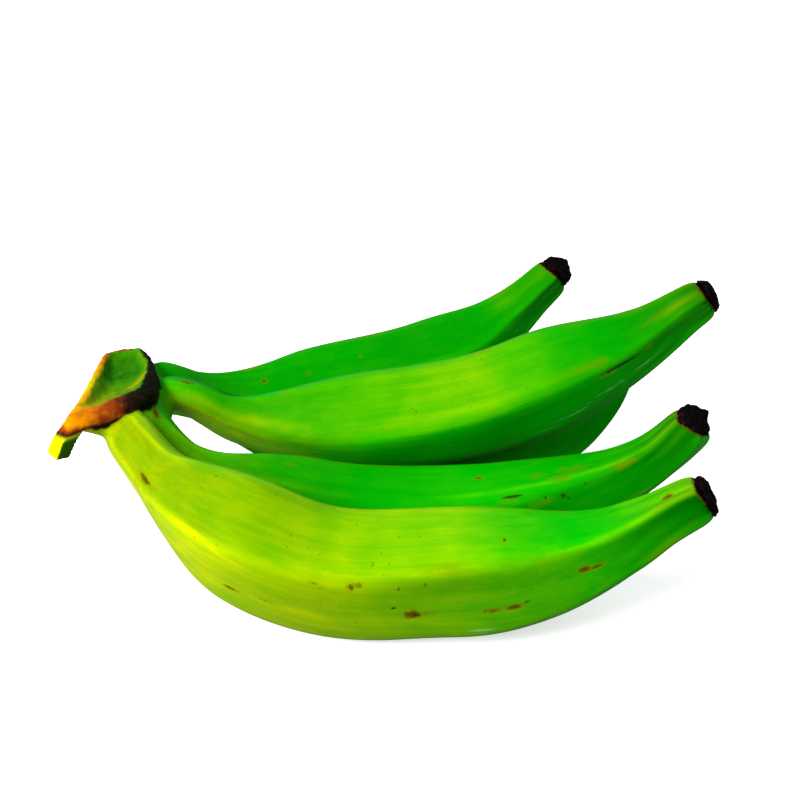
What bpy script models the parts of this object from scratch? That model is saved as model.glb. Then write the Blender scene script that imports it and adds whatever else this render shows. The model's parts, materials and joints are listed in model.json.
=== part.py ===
"""A hand of five green plantains, cut from its bunch and lying on a level surface.

Run with:  blender --background --python part.py

The fingers grow from the crown, the cushion of bunch stalk that the knife left on them.  It has
a dished cut face inside a thick rim, and a strip of its skin is torn loose at the front corner.
Each finger leaves it by a slim neck, swells to a belly with five flat faces, and narrows again
to a blunt nose that carries what is left of the flower, dried black.

X runs along the hand from the crown to the flower ends, Y from the front finger to the back one,
and Z is up.  Dimensions are in millimetres and become metres in the meshes.  The origin is the
middle of the underside of the whole hand's box.
"""
import math

import bmesh
import bpy
import numpy as np
from mathutils import Vector

MM = 0.001
HAND = "plantain_hand"
GAP = 0.3                # left between pieces that touch

# ---------------------------------------------------------------- fingers
SIDES = 20               # faces round a finger
RINGS = 30               # rings of vertices along it
FACE_ANGLES = (-2, 63, 138, 215, 288)    # where a finger's five flat faces look, in degrees
SOFT_EDGES = 5           # how crisply the faces meet at the neck and the nose
CRISP_EDGES = 10         # and half way along the finger
FLARE_LENGTH = 0.035     # the part of a finger over which its root flares into the crown
NOSE_ROUNDING = 0.10     # how much a nose draws in at its last ring

# Each finger: the points its middle line passes through, its greatest radius, the radius of its
# neck and its nose as parts of that, how far its root flares, the stretches of its length over
# which it swells and narrows, and how far its faces are turned at the root and at the nose.
FINGERS = {
    "finger_front": dict(
        spine=[(-111, 46, 71), (-107, 43, 64), (-102, 39, 59), (-96, 34, 54), (-84, 23.5, 49),
               (-65, 13, 41), (-33, 6, 27.5), (15, 4, 26), (58, 3, 31), (90, 3, 44), (106, 3, 55),
               (116.5, 3, 61)],
        radius=24.2, neck=0.37, nose=0.40, flare=0.25,
        swells=(0.035, 0.29), narrows=(0.62, 0.97), turned=(-5, -50)),
    "finger_second": dict(
        spine=[(-104, 63, 69), (-101, 61, 61), (-95, 59, 53), (-85, 57.5, 44), (-60, 56.5, 33),
               (-33, 54.5, 25), (0, 53.5, 22), (41, 51.5, 24.5), (74, 50, 34.5), (97, 47, 48), (111, 46, 61),
               (118, 45, 71)],
        radius=20.0, neck=0.34, nose=0.44, flare=0.05,
        swells=(0.08, 0.33), narrows=(0.64, 0.95), turned=(-5, -50)),
    "finger_upper": dict(
        spine=[(-102, 80, 68), (-92, 81, 65), (-84, 83, 60.5), (-76, 85, 54), (-64, 89, 48.5),
               (-43, 90, 47), (0, 89.5, 50), (45, 88.5, 60.5), (77, 90, 74), (104, 93, 86.2),
               (121, 94, 98.8), (129, 94.5, 104)],
        radius=21.7, neck=0.29, nose=0.39, flare=0.0,
        swells=(0.04, 0.40), narrows=(0.67, 0.98), turned=(10, -24)),
    "finger_back": dict(
        spine=[(-107, 98, 67), (-93, 106, 57), (-78, 117, 48), (-58, 126, 42), (-36, 133, 42),
               (0, 135, 50), (36, 142, 63), (61, 150, 82), (71, 154, 90)],
        radius=18.6, neck=0.32, nose=0.44, flare=0.0,
        swells=(0.10, 0.40), narrows=(0.66, 0.96), turned=(-10, -20)),
    "finger_lower_back": dict(
        spine=[(-104, 89, 56), (-97, 92.5, 56), (-90, 95, 53.5), (-84, 99, 48), (-78, 103, 41),
               (-58, 108, 26), (-32, 110, 18), (0, 111, 17.5), (40, 113, 19), (76, 117.5, 30),
               (92, 122, 46), (98, 126, 61)],
        radius=17.0, neck=0.31, nose=0.46, flare=0.0,
        swells=(0.20, 0.46), narrows=(0.70, 0.97), turned=(-5, -40)),
}

# ---------------------------------------------------------------- dried flower ends
END_SIDES = 12
END_RINGS = 6
END_BUMPS = ((3, 0.07), (5, 0.05))    # bumps round it: how many, and how high as parts of it
END_DOME = 0.88          # how far up a half ball the end's profile runs
# For each: how long it is, how far its tip leans sideways and up, and where its bumps begin.
FLOWER_ENDS = {
    "flower_end_front": dict(finger="finger_front", length=3.2, lean=(0, 1.5), bumps=20),
    "flower_end_second": dict(finger="finger_second", length=6.5, lean=(0, 0.5), bumps=75),
    "flower_end_upper": dict(finger="finger_upper", length=3.6, lean=(0, 0.5), bumps=130),
    "flower_end_back": dict(finger="finger_back", length=7.5, lean=(0, -4.0), bumps=200),
    "flower_end_lower_back": dict(finger="finger_lower_back", length=6.0, lean=(-1, 1), bumps=310),
}

# ---------------------------------------------------------------- crown
# The corners of the cut rim, anticlockwise from above, starting at the right.
RIM_CORNERS = [(-99, 62, 76), (-100, 87, 75), (-105, 106, 76), (-124, 107, 75), (-127, 84, 77),
               (-128, 56, 78), (-135, 30, 77), (-109, 41, 80)]
# Below the rim the crown draws in towards its necks: how far down each level is, how large it is
# compared with the rim, and how far its middle has moved to the right and to the back.
CROWN_LEVELS = [(27, 0.38, 10, 8), (19, 0.64, 8, 8), (11, 0.80, 5, 6), (5, 1.0, 0, 0),
                (0, 1.0, 0, 0)]
RIM_WIDTH = 4.0
DISH_WIDTH = 5.0         # from the rim's inner edge to the floor of the dish
DISH_DEPTH = 6.0
CROWN_SMOOTHING = 2      # Subdivision Surface levels
# The crown is hollowed for each neck by a slightly larger copy of it, over these parts of its
# length; the start is a little before the root, for the gap behind it.
SOCKET_START = -0.002
SOCKET_END = 0.12
SOCKET_RINGS = 6

# The torn strip: its middle line from inside the rim to its ragged end, and its half sizes.
STRIP_SPINE = [(-125, 43, 74), (-129, 37, 73), (-132, 31, 70), (-133.5, 27, 65)]
STRIP_SIDES = 12
STRIP_RINGS = 7
STRIP_HALF_WIDTH = 6.0
STRIP_HALF_THICKNESS = 2.2
STRIP_TAPER = 0.25       # how much narrower its end is than its root
STRIP_CORNERS = 4        # 2 would make its section an ellipse, more squares the corners

SHARP_EDGE = 40          # edges sharper than this many degrees stay sharp in the shading

SKIN = dict(color=(0.16, 0.48, 0.01), roughness=0.42)
DRIED = dict(color=(0.018, 0.010, 0.008), roughness=0.85)
CUT = dict(color=(0.30, 0.36, 0.02), roughness=0.6)


def ease(x):
    """A smooth step from 0 to 1."""
    x = np.clip(x, 0.0, 1.0)
    return x * x * (3.0 - 2.0 * x)


def smooth_curve(knots):
    """A function of distance, 0 to 1, along the natural cubic curve through the knots."""
    knots = np.array(knots, float)
    spans = np.linalg.norm(np.diff(knots, axis=0), axis=1)
    at = np.concatenate([[0.0], np.cumsum(spans)])
    count = len(knots)
    rows = np.eye(count)
    right = np.zeros_like(knots)
    for i in range(1, count - 1):
        rows[i, i - 1:i + 2] = spans[i - 1], 2 * (spans[i - 1] + spans[i]), spans[i]
        slopes = (knots[i + 1] - knots[i]) / spans[i] - (knots[i] - knots[i - 1]) / spans[i - 1]
        right[i] = 3.0 * slopes
    bend = np.linalg.solve(rows, right)

    def point(distance):
        i = int(np.clip(np.searchsorted(at, distance) - 1, 0, count - 2))
        step = distance - at[i]
        straight = (knots[i + 1] - knots[i]) / spans[i] - spans[i] * (2 * bend[i] + bend[i + 1]) / 3
        return knots[i] + step * (straight + step * (
            bend[i] + step * (bend[i + 1] - bend[i]) / (3 * spans[i])))

    return point, at[-1]


def place_on(knots, t):
    """The point at t on the curve, and the sideways, upward and forward directions there."""
    point, length = smooth_curve(knots)
    ahead = point(min(t + 0.01, 1.0) * length)
    behind = point(max(t - 0.01, 0.0) * length)
    forward = Vector(ahead - behind).normalized()
    sideways = Vector((0, 0, 1)).cross(forward).normalized()
    return Vector(point(t * length)), sideways, forward.cross(sideways), forward


def ringed_cylinder(sides, rings):
    """A closed cylinder, 1 in radius and 1 high, cut into rings of vertices along its height."""
    model = bmesh.new()
    bmesh.ops.create_cone(model, segments=sides, radius1=1, radius2=1, depth=1, cap_ends=True)
    lengthwise = [e for e in model.edges if abs(e.verts[0].co.z - e.verts[1].co.z) > 0.5]
    bmesh.ops.subdivide_edges(model, edges=lengthwise, cuts=rings - 2, use_grid_fill=True)
    return model


def ring_and_angle(vert, rings):
    """Which ring of a ringed cylinder a vertex is on, and where it is round it."""
    return round((vert.co.z + 0.5) * (rings - 1)), math.atan2(vert.co.y, vert.co.x)


def object_from(name, model):
    """An object that holds the finished model."""
    mesh = bpy.data.meshes.new(name)
    model.to_mesh(mesh)
    model.free()
    return bpy.data.objects.new(name, mesh)


def drawn_out(name, places, sides, outline):
    """A cylinder with a ring at each of the places, each ring with its own outline.

    A place is t, the ring's middle, and its sideways and upward directions, and
    outline(t, angle) is the distance of the skin from the middle, all in millimetres.
    """
    model = ringed_cylinder(sides, len(places))
    for vert in model.verts:
        ring, angle = ring_and_angle(vert, len(places))
        t, middle, sideways, upward = places[ring]
        direction = sideways * math.cos(angle) + upward * math.sin(angle)
        vert.co = (middle + direction * outline(t, angle)) * MM
    return object_from(name, model)


def along(knots, rings, start=0.0, end=1.0):
    """Evenly spaced places for drawn_out on the curve through the knots."""
    return [(t, *place_on(knots, t)[:3]) for t in np.linspace(start, end, rings)]


def five_faced(angle, turned, crispness):
    """The distance to the skin of a soft-edged five-sided section, about 1."""
    closeness = 0.0
    for face in FACE_ANGLES:
        closeness += max(0.0, math.cos(angle - math.radians(face + turned))) ** crispness
    return closeness ** (-1.0 / crispness)


def finger_outline(finger, grow=0.0):
    """The outline of a finger for drawn_out, with its radius grown by a clearance."""
    def mean_section(turned, crispness):
        ring = np.linspace(0, 2 * math.pi, 60, endpoint=False)
        return np.mean([five_faced(angle, turned, crispness) for angle in ring])

    def outline(t, angle):
        swell = ease((t - finger["swells"][0]) / (finger["swells"][1] - finger["swells"][0]))
        narrow = ease((t - finger["narrows"][0]) / (finger["narrows"][1] - finger["narrows"][0]))
        radius = finger["radius"] * (finger["neck"] + (1 - finger["neck"]) * swell)
        radius *= 1 - (1 - finger["nose"]) * narrow
        radius *= 1 + finger["flare"] * math.exp(-(t / FLARE_LENGTH) ** 2)
        if t == 1.0:
            radius *= 1 - NOSE_ROUNDING
        turned = finger["turned"][0] + (finger["turned"][1] - finger["turned"][0]) * t
        crispness = SOFT_EDGES + (CRISP_EDGES - SOFT_EDGES) * math.sin(math.pi * np.clip(t, 0, 1))
        section = five_faced(angle, turned, crispness) / mean_section(turned, crispness)
        return radius * section + grow

    return outline


def make_finger(name, finger):
    """A finger: a five-faced rod along its middle line, slim at the neck and at the nose."""
    return drawn_out(name, along(finger["spine"], RINGS), SIDES, finger_outline(finger))


def make_flower_end(name, end):
    """A crumpled black stub that sits on a finger's nose, a gap away from it."""
    finger = FINGERS[end["finger"]]
    tip, sideways, upward, forward = place_on(finger["spine"], 1.0)
    lean = sideways * end["lean"][0] + upward * end["lean"][1]
    places = [(t, tip + forward * (GAP + end["length"] * t) + lean * t * t, sideways, upward)
              for t in np.linspace(0, 1, END_RINGS)]
    base = finger["radius"] * finger["nose"] * (1 - NOSE_ROUNDING)

    def outline(t, angle):
        phase = math.radians(end["bumps"])
        bumps = sum(height * math.sin(count * (angle + phase)) for count, height in END_BUMPS)
        dome = math.sqrt(1 - (END_DOME * t) ** 2)
        return base * dome * (1 + bumps * min(1, END_RINGS * t / 2))

    return drawn_out(name, places, END_SIDES, outline)


def make_crown(name, necks, strip):
    """The cut cushion: a coarse cage, smoothed, joined to the torn strip and hollowed for necks."""
    corners = [Vector(corner) for corner in RIM_CORNERS]
    middle = sum(corners, Vector()) / len(corners)
    model = ringed_cylinder(len(corners), len(CROWN_LEVELS))
    for vert in model.verts:
        level, angle = ring_and_angle(vert, len(CROWN_LEVELS))
        down, scale, right, back = CROWN_LEVELS[level]
        corner = corners[round(angle / (2 * math.pi) * len(corners)) % len(corners)]
        vert.co = (middle + (corner - middle) * scale + Vector((right, back, -down))) * MM
    top = max(model.faces, key=lambda face: face.calc_center_median().z)
    bmesh.ops.inset_region(model, faces=[top], thickness=RIM_WIDTH * MM)
    bmesh.ops.inset_region(model, faces=[top], thickness=DISH_WIDTH * MM, depth=-DISH_DEPTH * MM)
    bmesh.ops.poke(model, faces=[top])
    crown = object_from(name, model)
    smooth = crown.modifiers.new("cushion", "SUBSURF")
    smooth.levels = CROWN_SMOOTHING
    smooth.render_levels = CROWN_SMOOTHING
    join = crown.modifiers.new("torn strip", "BOOLEAN")
    join.operation = "UNION"
    join.object = strip
    for neck in necks:
        hollow = crown.modifiers.new(neck.name, "BOOLEAN")
        hollow.operation = "DIFFERENCE"
        hollow.object = neck
    return crown


def make_strip(name):
    """The strip of skin torn loose from the rim, a flat bar that tapers to a ragged end."""
    def outline(t, angle):
        half_width = STRIP_HALF_WIDTH * (1.0 - STRIP_TAPER * t)
        across = abs(math.cos(angle)) / half_width
        through = abs(math.sin(angle)) / STRIP_HALF_THICKNESS
        return (across ** STRIP_CORNERS + through ** STRIP_CORNERS) ** (-1.0 / STRIP_CORNERS)

    return drawn_out(name, along(STRIP_SPINE, STRIP_RINGS), STRIP_SIDES, outline)


def material(name, look):
    """A plain Principled material."""
    made = bpy.data.materials.new(name)
    made.use_nodes = True
    shader = made.node_tree.nodes["Principled BSDF"]
    shader.inputs["Base Color"].default_value = (*look["color"], 1.0)
    shader.inputs["Roughness"].default_value = look["roughness"]
    shader.inputs["Metallic"].default_value = 0.0
    made.diffuse_color = (*look["color"], 1.0)
    return made


def finish(thing, look, collection):
    """Shade a piece smooth where it is round, give it its own material and file it."""
    thing.data.materials.append(material(thing.name + "_finish", look))
    thing.data.shade_smooth()
    thing.data.set_sharp_from_angle(angle=math.radians(SHARP_EDGE))
    collection.objects.link(thing)


def settle(pieces, guides):
    """Move the whole hand so that its box stands on the origin by the middle of its underside."""
    bpy.context.view_layer.update()
    depsgraph = bpy.context.evaluated_depsgraph_get()
    corners = []
    for piece in pieces:
        mesh = piece.evaluated_get(depsgraph).to_mesh()
        corners += [piece.matrix_world @ vert.co for vert in mesh.vertices]
    low = Vector([min(corner[axis] for corner in corners) for axis in range(3)])
    high = Vector([max(corner[axis] for corner in corners) for axis in range(3)])
    foot = Vector(((low.x + high.x) / 2, (low.y + high.y) / 2, low.z))
    for thing in pieces + guides:
        thing.location -= foot


def main():
    for old in list(bpy.data.objects):
        bpy.data.objects.remove(old)
    parts = bpy.data.collections.new(HAND)
    cutters = bpy.data.collections.new(HAND + "_cutters")
    for collection in (parts, cutters):
        bpy.context.scene.collection.children.link(collection)

    pieces = []
    necks = []
    for name, finger in FINGERS.items():
        pieces.append(make_finger(name, finger))
        finish(pieces[-1], SKIN, parts)
        root = along(finger["spine"], SOCKET_RINGS, start=SOCKET_START, end=SOCKET_END)
        neck = drawn_out(name + "_socket", root, SIDES, finger_outline(finger, grow=GAP))
        necks.append(neck)
    for name, end in FLOWER_ENDS.items():
        pieces.append(make_flower_end(name, end))
        finish(pieces[-1], DRIED, parts)

    strip = make_strip("torn_strip")
    crown = make_crown("crown", necks, strip)
    finish(crown, CUT, parts)
    pieces.append(crown)

    guides = necks + [strip]
    for guide in guides:
        cutters.objects.link(guide)
        guide.hide_render = True
        guide.display_type = "WIRE"
    settle(pieces, guides)


main()
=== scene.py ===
# %% [markdown]
# # A hand of green plantains
#
# Five unripe plantains hang together by their necks from a crown, the cushion of bunch stalk that
# the knife left on them. They lie on a white table. This lesson builds their looks around a plain
# model that already has the right sizes and places: smooth five-sided fingers with waxy green
# peel, a cut and dried crown with a torn strip of skin, and the black remains of the flowers.

# %% Load the plain model
import json
import math

import bpy
import numpy as np
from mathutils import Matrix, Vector, noise
from mathutils.kdtree import KDTree

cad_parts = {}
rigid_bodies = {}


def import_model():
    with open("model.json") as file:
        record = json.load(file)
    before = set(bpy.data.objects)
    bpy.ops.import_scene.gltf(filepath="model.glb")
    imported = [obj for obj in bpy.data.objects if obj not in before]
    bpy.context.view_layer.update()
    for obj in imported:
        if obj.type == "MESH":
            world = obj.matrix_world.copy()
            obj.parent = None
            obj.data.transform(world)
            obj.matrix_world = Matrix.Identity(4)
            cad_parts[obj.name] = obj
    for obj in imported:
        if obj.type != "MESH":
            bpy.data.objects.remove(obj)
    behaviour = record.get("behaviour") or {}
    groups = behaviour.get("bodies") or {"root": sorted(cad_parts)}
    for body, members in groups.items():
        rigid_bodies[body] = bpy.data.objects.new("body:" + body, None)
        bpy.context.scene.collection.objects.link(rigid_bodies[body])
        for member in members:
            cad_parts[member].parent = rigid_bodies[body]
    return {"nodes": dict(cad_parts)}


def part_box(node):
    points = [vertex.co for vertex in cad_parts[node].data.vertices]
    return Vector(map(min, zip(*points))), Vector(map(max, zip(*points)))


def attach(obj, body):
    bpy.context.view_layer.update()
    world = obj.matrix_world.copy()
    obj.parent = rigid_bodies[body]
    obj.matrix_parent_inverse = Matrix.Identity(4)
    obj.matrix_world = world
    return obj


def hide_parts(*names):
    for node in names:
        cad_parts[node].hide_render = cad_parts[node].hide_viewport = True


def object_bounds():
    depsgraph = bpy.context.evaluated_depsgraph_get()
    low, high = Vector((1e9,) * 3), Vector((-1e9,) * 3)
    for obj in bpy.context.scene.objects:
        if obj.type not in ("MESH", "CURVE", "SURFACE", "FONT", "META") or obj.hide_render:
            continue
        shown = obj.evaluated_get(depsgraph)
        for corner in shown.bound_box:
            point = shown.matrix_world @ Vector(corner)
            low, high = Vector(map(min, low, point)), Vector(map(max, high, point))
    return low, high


for leftover in list(bpy.data.objects):
    bpy.data.objects.remove(leftover)

MM = 0.001
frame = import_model()
cad_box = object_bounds()
box_low, box_high = (np.array(corner) for corner in cad_box)
print("plain model, mm:", np.round((box_high - box_low) / MM, 1))

# %% [markdown]
# ## The camera
#
# The hand is looked at from the front and a little above, from about as far away as an arm
# reaches. A camera could be aimed with a Track To constraint, but a rotation worked out once from
# the line of sight stays put and needs nothing else in the scene.

# %% Camera
AIM = Vector((1.6, 13.8, 59.1)) * MM      # the point in the middle of the view
DISTANCE = 0.659                          # metres
ELEVATION = math.radians(27)
LENS, SENSOR = 70, 36                     # mm

line_of_sight = Vector((0, math.cos(ELEVATION), -math.sin(ELEVATION)))
camera = bpy.data.objects.new("camera", bpy.data.cameras.new("camera"))
bpy.context.scene.collection.objects.link(camera)
camera.data.lens = LENS
camera.data.sensor_width = SENSOR
camera.location = AIM - line_of_sight * DISTANCE
camera.rotation_euler = line_of_sight.to_track_quat("-Z", "Y").to_euler()
bpy.context.scene.camera = camera
print("camera stands at, mm:", np.round(np.array(camera.location) / MM))

# %% [markdown]
# ## Writing materials
#
# A material is a tree of nodes. The wrapper below lets shader maths be written as ordinary sums:
# adding, taking away and multiplying sockets makes the Math nodes for it, and every other node
# comes from one method.

# %% A wrapper for sockets
class Wire:
    """An output socket of a material, on which + - and * make Math nodes."""

    def __init__(self, socket):
        self.socket = socket

    def _maths(self, operation, first, second):
        return node_in(self.socket.id_data, "ShaderNodeMath", {"operation": operation},
                       {0: first, 1: second})

    def __add__(self, other):
        return self._maths("ADD", self, other)

    def __sub__(self, other):
        return self._maths("SUBTRACT", self, other)

    def __rsub__(self, other):
        return self._maths("SUBTRACT", other, self)

    def __mul__(self, other):
        return self._maths("MULTIPLY", self, other)

    __radd__, __rmul__ = __add__, __mul__


def node_in(tree, kind, settings=None, sockets=None, out=0):
    """Adds a node: its settings or a ramp's stops first, then its sockets' values or links."""
    node = tree.nodes.new(kind)
    for name, value in (settings or {}).items():
        if name == "stops":
            elements = node.color_ramp.elements
            while len(elements) < len(value):
                elements.new(1.0)
            for element, (place, shade) in zip(elements, value):
                element.position = place
                element.color = (*shade, 1)
        else:
            setattr(node, name, value)
    for name, value in (sockets or {}).items():
        if isinstance(value, Wire):
            tree.links.new(value.socket, node.inputs[name])
        else:
            node.inputs[name].default_value = value
    return Wire(node.outputs[out])


# %% A material under construction
class Finish:
    """A material and the nodes that make up its looks."""

    def __init__(self, name):
        self.material = bpy.data.materials.new(name)
        self.material.use_nodes = True
        self.tree = self.material.node_tree
        self.shader = self.tree.nodes["Principled BSDF"]

    def node(self, kind, settings=None, sockets=None, out=0):
        return node_in(self.tree, kind, settings, sockets, out)

    def painted(self, name):
        """What is painted on the piece under this name, as a vector and as three numbers."""
        vector = self.node("ShaderNodeAttribute", {"attribute_name": name}, out="Vector")
        parts = [self.node("ShaderNodeSeparateXYZ", None, {0: vector}, out=i) for i in range(3)]
        return vector, parts

    def noise(self, vector, scale, detail):
        """Cloudy noise, from 0 to 1."""
        return self.node("ShaderNodeTexNoise", None,
                         {"Vector": vector, "Scale": scale, "Detail": detail})

    def stretched(self, vector, factors):
        """A vector times a factor for each of its directions: below 1 draws a pattern out."""
        return self.node("ShaderNodeVectorMath", {"operation": "MULTIPLY"},
                         {0: vector, 1: factors})

    def ramp(self, factor, stops):
        """Colours at places along a range from 0 to 1, blended in between."""
        return self.node("ShaderNodeValToRGB", {"stops": stops}, {"Fac": factor})

    def between(self, value, low, high):
        """0 where the value is at low or below, 1 at high or above, smooth between."""
        return self.node("ShaderNodeMapRange", {"interpolation_type": "SMOOTHSTEP"},
                         {"Value": value, "From Min": low, "From Max": high})

    def mix(self, factor, first, second, blend="MIX"):
        """One colour laid over another by a factor."""
        return self.node("ShaderNodeMix", {"data_type": "RGBA", "blend_type": blend},
                         {0: factor, 6: first, 7: second}, out=2)

    def bump(self, height, distance, strength):
        """A surface that a height from 0 to 1 raises by up to a distance."""
        return self.node("ShaderNodeBump", None,
                         {"Height": height, "Distance": distance, "Strength": strength})

    def set(self, **sockets):
        """Links or sets the shader's sockets, with _ for the spaces in their names."""
        for name, value in sockets.items():
            socket = self.shader.inputs[name.replace("_", " ")]
            if isinstance(value, Wire):
                self.tree.links.new(value.socket, socket)
            else:
                socket.default_value = value


def colour(red, green, blue):
    """A solid colour as the sockets want it."""
    return (red, green, blue, 1.0)


# %% [markdown]
# ## Table and light
#
# The table is one large white sheet in a white room, and one large soft lamp stands up on the left
# and in front, so each flat face of a finger gets its own shade. White paper that is lit this
# strongly burns out to pure white, and only the dark line under the fruit is left of the shadow.
# It would also light the fruit from below, though, and take the depth out of its undersides. So
# the sheet is bright where it is looked at, and a dull grey for the light that bounces off it.

# %% Helpers for choosing what an operator works on
def only(*pieces):
    """Selects these pieces and nothing else, in object mode, with the last one active."""
    if bpy.context.object and bpy.context.object.mode != "OBJECT":
        bpy.ops.object.mode_set(mode="OBJECT")
    bpy.ops.object.select_all(action="DESELECT")
    for piece in pieces:
        piece.select_set(True)
        bpy.context.view_layer.objects.active = piece


def in_edit_mode(piece, everything=True):
    """Opens a piece in edit mode with all of it selected, or none of it."""
    only(piece)
    bpy.ops.object.mode_set(mode="EDIT")
    bpy.ops.mesh.select_mode(type="VERT")
    bpy.ops.mesh.select_all(action="SELECT" if everything else "DESELECT")


def with_modifier(piece, kind, **settings):
    """Adds a modifier to a piece and applies it at once."""
    only(piece)
    modifier = piece.modifiers.new(kind.lower(), kind)
    for name, value in settings.items():
        setattr(modifier, name, value)
    bpy.ops.object.modifier_apply(modifier=modifier.name)


# %% Table
TABLE_SIZE = 12.0                  # metres
TABLE_GLOW = 0.60                  # how far the sheet is burnt out
BOUNCE = colour(0.32, 0.32, 0.32)  # how much light it throws back up
WHITE, BRIGHT_WHITE, UNLIT = colour(0.97, 0.97, 0.97), colour(1, 1, 1), colour(0, 0, 0)

only()
bpy.ops.mesh.primitive_plane_add(size=TABLE_SIZE, location=(0, 0, 0))
table = bpy.context.object
table.name = "table"
in_edit_mode(table)
bpy.ops.mesh.subdivide(number_cuts=3)
only(table)

paper = Finish("white_paper")
looked_at = paper.node("ShaderNodeLightPath", out="Is Camera Ray")
paper.set(Base_Color=paper.mix(looked_at, BOUNCE, WHITE),
          Emission_Color=paper.mix(looked_at, UNLIT, BRIGHT_WHITE),
          Emission_Strength=TABLE_GLOW, Roughness=0.9, Specular_IOR_Level=0.0)
table.data.materials.append(paper.material)
print("table:", TABLE_SIZE, "m wide,", len(table.data.polygons), "faces")

# %% Lamp and room
KEY_ENERGY = 44.0                  # watts
KEY_SIZE = 0.7                     # metres
KEY_PLACE = Vector((-0.90, -1.05, 1.10))
KEY_AIM = Vector((0, 0, 0.05))
ROOM_LIGHT = 0.52

bpy.ops.object.light_add(type="AREA", location=KEY_PLACE)
key = bpy.context.object
key.name = "key_lamp"
key.data.energy = KEY_ENERGY
key.data.size = KEY_SIZE
key.rotation_euler = (KEY_AIM - KEY_PLACE).to_track_quat("-Z", "Y").to_euler()

room = bpy.data.worlds.new("white_room")
bpy.context.scene.world = room
room.use_nodes = True
backdrop = room.node_tree.nodes["Background"]
backdrop.inputs["Color"].default_value = BRIGHT_WHITE
backdrop.inputs["Strength"].default_value = ROOM_LIGHT
bpy.context.scene.view_settings.view_transform = "Standard"
print("lamp:", round((KEY_AIM - KEY_PLACE).length, 2), "m from the fruit")


# %% Points of a mesh as an array
def points_of(piece):
    """Where a piece's vertices are, one row each, in metres."""
    points = np.zeros(len(piece.data.vertices) * 3, np.float32)
    piece.data.vertices.foreach_get("co", points)
    return points.reshape(-1, 3).astype(float)


def normals_of(piece):
    """Which way each vertex of a piece faces."""
    normals = np.zeros(len(piece.data.vertices) * 3, np.float32)
    piece.data.vertex_normals.foreach_get("vector", normals)
    return normals.reshape(-1, 3).astype(float)


def move_points(piece, points):
    """Puts a piece's vertices where the array says."""
    piece.data.vertices.foreach_set("co", points.astype(np.float32).ravel())
    piece.data.update()


# %% Numbers painted on a mesh
def paint(piece, name, columns):
    """Stores up to three numbers on each vertex as a vector that materials can read."""
    layer = piece.data.attributes.new(name, "FLOAT_VECTOR", "POINT")
    rows = np.zeros((len(piece.data.vertices), 3), np.float32)
    for i, column in enumerate(columns):
        rows[:, i] = column
    layer.data.foreach_set("vector", rows.ravel())


def soften(piece, name, where, rounds):
    """Blends what is painted on a piece with what is on the neighbouring vertices."""
    layer, count = piece.data.attributes[name], len(piece.data.vertices)
    ends = np.zeros(len(piece.data.edges) * 2, np.int32)
    piece.data.edges.foreach_get("vertices", ends)
    here, there = np.concatenate([ends.reshape(-1, 2), ends.reshape(-1, 2)[:, ::-1]]).T
    neighbours = np.maximum(np.bincount(here, minlength=count), 1)
    rows = np.zeros(count * 3, np.float32)
    layer.data.foreach_get("vector", rows)
    rows = rows.reshape(-1, 3)
    for _ in range(rounds):
        for i in range(3):
            mean = np.bincount(here, rows[there, i], count) / neighbours
            rows[:, i] += where * (mean - rows[:, i])
    layer.data.foreach_set("vector", rows.ravel())


# %% [markdown]
# ## The fingers' shape
#
# A plantain has five flat faces that meet in soft ridges. The plain model has them already, as
# rings of twenty corners along each finger. Drawing the fingers again would only risk losing
# their fit, so each is a copy of the plain one: its loose triangles are joined, its diagonals
# taken out so that clean four-sided faces are left, and a Subdivision Surface rounds it.

# %% Copies of the plain pieces
def merged_copy(node, name):
    """A new piece with a plain piece's mesh, its loose triangles joined at their corners."""
    piece = bpy.data.objects.new(name, frame["nodes"][node].data.copy())
    piece.data.materials.clear()
    bpy.context.scene.collection.objects.link(piece)
    in_edit_mode(piece)
    bpy.ops.mesh.remove_doubles(threshold=1e-6)
    bpy.ops.mesh.customdata_custom_splitnormals_clear()
    only(piece)
    return piece


# %% Rings from the neck to the nose
END_EDGE = math.radians(55)        # only the edges round a finger's two ends are this sharp
NECK_REACH = 0.08                  # metres from the crown's middle: necks are nearer, noses farther
crown_low, crown_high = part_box("crown")
crown_middle = (crown_low + crown_high) / 2


def ring_numbers(piece):
    """For each vertex of a finger, how many rings it is from the neck end."""
    in_edit_mode(piece, everything=False)
    bpy.ops.mesh.edges_select_sharp(sharpness=END_EDGE)
    only(piece)
    ends = [v.index for v in piece.data.vertices if v.select]
    near = [i for i in ends
            if (piece.data.vertices[i].co - crown_middle).length < NECK_REACH]
    beside = {v.index: set() for v in piece.data.vertices}
    for edge in piece.data.edges:
        a, b = edge.vertices
        beside[a].add(b)
        beside[b].add(a)
    ring = dict.fromkeys(near, 0)
    edge_of_known = near
    while edge_of_known:
        found = {b for a in edge_of_known for b in beside[a] if b not in ring}
        for i in found:
            ring[i] = ring[edge_of_known[0]] + 1
        edge_of_known = sorted(found)
    return np.array([ring[v.index] for v in piece.data.vertices])


# %% A finger's middle line
SPINE_STEPS = 12                   # places on the line for each ring
AT_ONCE = 4000                     # points compared with the line in one go, to spare memory


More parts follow.
